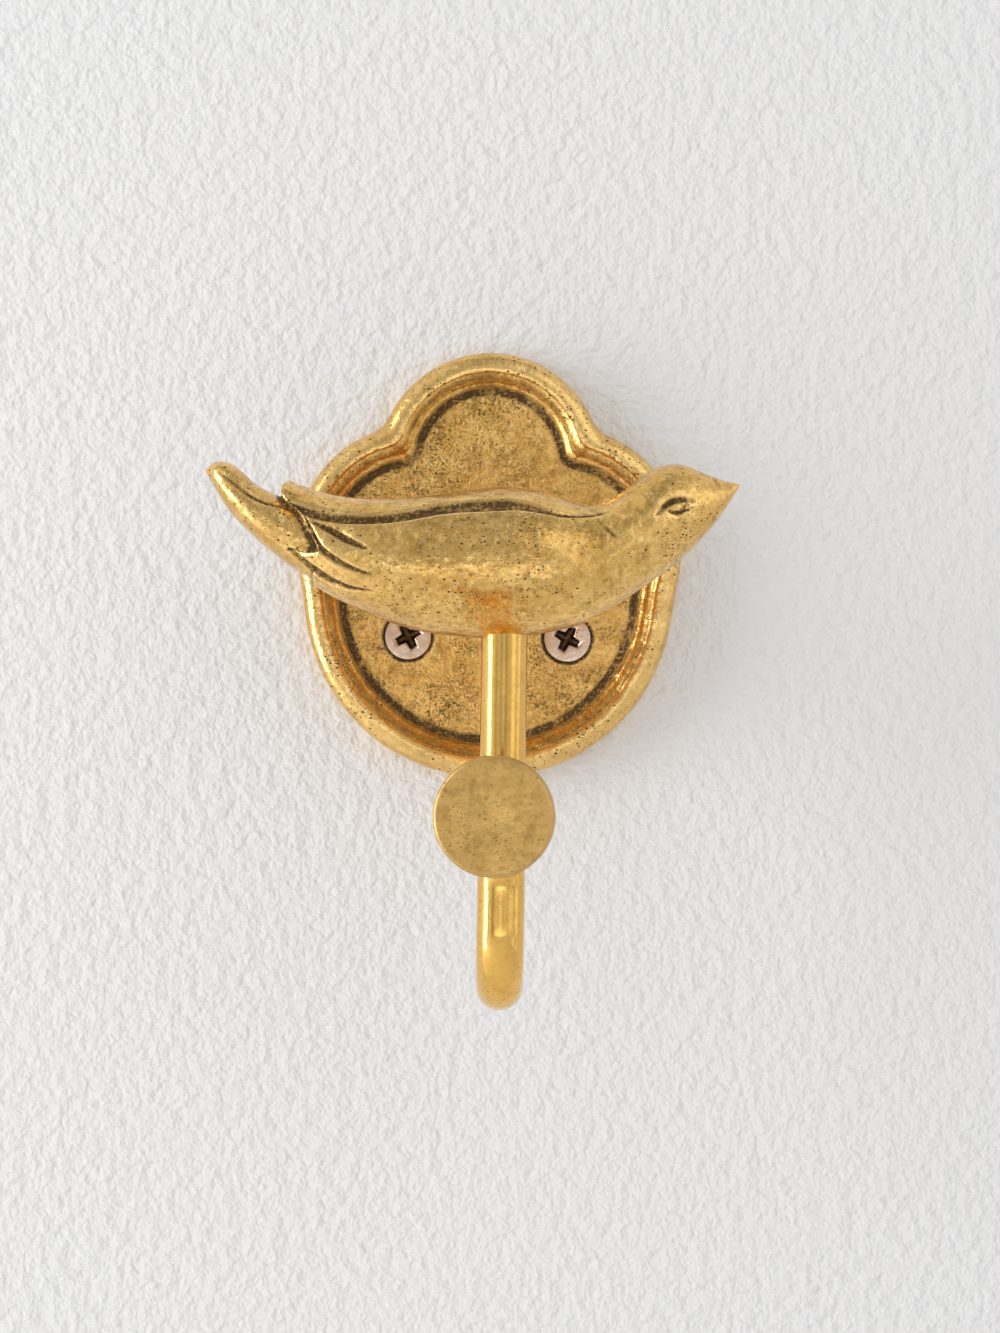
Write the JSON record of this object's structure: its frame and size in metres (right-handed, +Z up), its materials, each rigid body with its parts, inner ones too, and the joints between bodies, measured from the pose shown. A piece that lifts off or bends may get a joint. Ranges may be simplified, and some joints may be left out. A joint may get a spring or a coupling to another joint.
{
  "type": "wall hook",
  "caption": "Cast brass bath hook: a lobed wall plate with a raised rim, a small bird on a short post in front of it, and a round bar bent into a hook that ends in a flat disc.",
  "frame": {"origin": "the wall plane at the axis of the post, on the plate's centre line", "axes": "+Z up, +X to the right seen from the front, +Y into the wall, the hook stands out along -Y"},
  "size_m": [0.0925, 0.1069, 0.1152],
  "materials": {
    "cast_brass": "aged cast, dark in the recesses",
    "bar_brass": "worn satin",
    "screw_metal": "dull plated"
  },
  "bodies": {
    "root": {"backplate": "cast_brass", "bird": "cast_brass", "post": "bar_brass", "hook_rod": "bar_brass", "end_disc": "bar_brass", "mounting_screws": "screw_metal", "post_screw": "screw_metal"}
  },
  "joints": []
}
